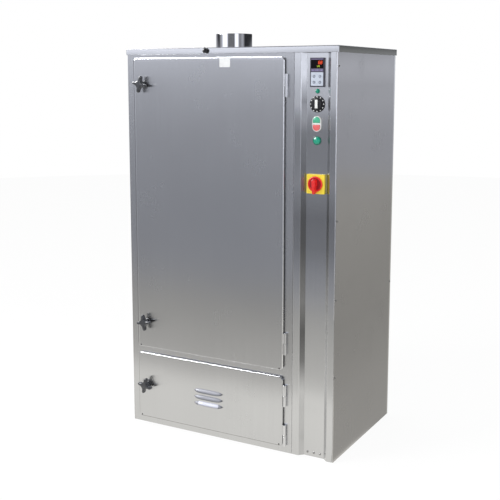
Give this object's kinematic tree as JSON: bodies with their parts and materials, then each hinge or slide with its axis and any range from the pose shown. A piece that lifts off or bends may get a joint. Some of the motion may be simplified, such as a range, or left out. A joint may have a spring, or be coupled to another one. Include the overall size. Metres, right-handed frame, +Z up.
{
  "type": "electric cabinet smoker",
  "caption": "Tall stainless steel smoking cabinet with an insulated door above a louvred lower door, a flue with a damper, and a recessed control column.",
  "frame": {"origin": "centre of the base on the floor", "axes": "+Z up, the doors face -Y, +X to the right where the control column stands"},
  "size_m": [0.838, 0.5863, 1.453],
  "materials": {
    "stainless": "brushed stainless steel",
    "lining": "mill-finish stainless steel",
    "polished": "mirror-polished stainless steel",
    "wool": "mineral wool",
    "seal": "silicone rubber",
    "black_plastic": "moulded black plastic",
    "grey_plastic": "moulded grey plastic",
    "window": "dark display window",
    "green": "green plastic",
    "red": "red plastic",
    "yellow": "yellow plastic",
    "white": "white plastic",
    "heater": "oxidised stainless tube",
    "brass": "nickel-free brass"
  },
  "bodies": {
    "cabinet": {"base_plate": "stainless", "left_side_panel": "stainless", "right_side_panel": "stainless", "back_panel": "stainless", "top_cover": "stainless", "front_frame": "stainless", "control_column": "stainless", "partition_wall": "stainless", "hinge_frame_halves": "stainless", "hinge_pins": "stainless", "panel_rivets": "stainless", "din_rail": "stainless", "liner_left": "lining", "liner_right": "lining", "liner_back": "lining", "liner_roof": "lining", "rack_ladders": "lining", "drip_tray": "lining", "wire_grids": "lining", "smoking_rods": "lining", "chip_tray": "lining", "cabinet_insulation": "wool", "chamber_heater": "heater", "chip_heater": "heater", "flue_pipe": "polished", "temperature_probe": "brass", "controller_housing": "black_plastic", "timer_body": "black_plastic", "cable_gland": "black_plastic", "controller_window": "window", "pilot_lamp": "green", "green_lamp": "green", "button_bezel": "white", "switch_plate": "yellow", "contactor": "grey_plastic"},
    "main_door": {"main_door_outer_pan": "stainless", "main_door_hinge_halves": "stainless", "main_door_inner_pan": "lining", "main_door_core": "wool", "main_door_gasket": "seal"},
    "lower_door": {"lower_door_outer_pan": "stainless", "lower_door_hinge_halves": "stainless", "lower_door_inner_pan": "lining", "lower_door_gasket": "seal"},
    "upper_latch": {"upper_latch_grip": "black_plastic", "upper_latch_spindle": "stainless"},
    "middle_latch": {"middle_latch_grip": "black_plastic", "middle_latch_spindle": "stainless"},
    "lower_latch": {"lower_latch_grip": "black_plastic", "lower_latch_spindle": "stainless"},
    "flue_damper": {"damper_blade": "stainless", "damper_knob": "black_plastic"},
    "timer": {"timer_knob": "black_plastic"},
    "start": {"start_button": "green"},
    "stop": {"stop_button": "red"},
    "main_switch": {"switch_handle": "red"},
    "key_1": {"controller_key_1": "grey_plastic"},
    "key_2": {"controller_key_2": "grey_plastic"},
    "key_3": {"controller_key_3": "grey_plastic"},
    "key_4": {"controller_key_4": "grey_plastic"}
  },
  "joints": [
    {"name": "main_door_swing", "type": "hinge", "parent": "cabinet", "child": "main_door", "pos_m": [0.234, -0.269, 0.8325], "axis": [0, 0, 1], "range_deg": [0, 120]},
    {"name": "lower_door_swing", "type": "hinge", "parent": "cabinet", "child": "lower_door", "pos_m": [0.234, -0.269, 0.1495], "axis": [0, 0, 1], "range_deg": [0, 120]},
    {"name": "upper_latch_turn", "type": "hinge", "parent": "main_door", "child": "upper_latch", "pos_m": [-0.343, -0.26, 1.274], "axis": [0, -1, 0], "range_deg": [0, 90]},
    {"name": "middle_latch_turn", "type": "hinge", "parent": "main_door", "child": "middle_latch", "pos_m": [-0.343, -0.26, 0.396], "axis": [0, -1, 0], "range_deg": [0, 90]},
    {"name": "lower_latch_turn", "type": "hinge", "parent": "lower_door", "child": "lower_latch", "pos_m": [-0.343, -0.26, 0.153], "axis": [0, -1, 0], "range_deg": [0, 90]},
    {"name": "flue_damper_turn", "type": "hinge", "parent": "cabinet", "child": "flue_damper", "pos_m": [-0.0785, -0.2, 1.389], "axis": [0, 1, 0], "range_deg": [0, 90]},
    {"name": "timer_knob_turn", "type": "hinge", "parent": "cabinet", "child": "timer", "pos_m": [0.3365, -0.24, 1.212], "axis": [0, 1, 0], "range_deg": [0, 300]},
    {"name": "main_switch_turn", "type": "hinge", "parent": "cabinet", "child": "main_switch", "pos_m": [0.3365, -0.25, 0.95], "axis": [0, 1, 0], "range_deg": [0, 90]},
    {"name": "start_button_press", "type": "slide", "parent": "cabinet", "child": "start", "axis": [0, 1, 0], "range_m": [0, 0.0025], "stiffness_N_per_m": 500, "springref_m": -0.001},
    {"name": "stop_button_press", "type": "slide", "parent": "cabinet", "child": "stop", "axis": [0, 1, 0], "range_m": [0, 0.0025], "stiffness_N_per_m": 500, "springref_m": -0.001},
    {"name": "key_1_press", "type": "slide", "parent": "cabinet", "child": "key_1", "axis": [0, 1, 0], "range_m": [0, 0.0008], "stiffness_N_per_m": 800, "springref_m": -0.0005},
    {"name": "key_2_press", "type": "slide", "parent": "cabinet", "child": "key_2", "axis": [0, 1, 0], "range_m": [0, 0.0008], "stiffness_N_per_m": 800, "springref_m": -0.0005},
    {"name": "key_3_press", "type": "slide", "parent": "cabinet", "child": "key_3", "axis": [0, 1, 0], "range_m": [0, 0.0008], "stiffness_N_per_m": 800, "springref_m": -0.0005},
    {"name": "key_4_press", "type": "slide", "parent": "cabinet", "child": "key_4", "axis": [0, 1, 0], "range_m": [0, 0.0008], "stiffness_N_per_m": 800, "springref_m": -0.0005}
  ]
}
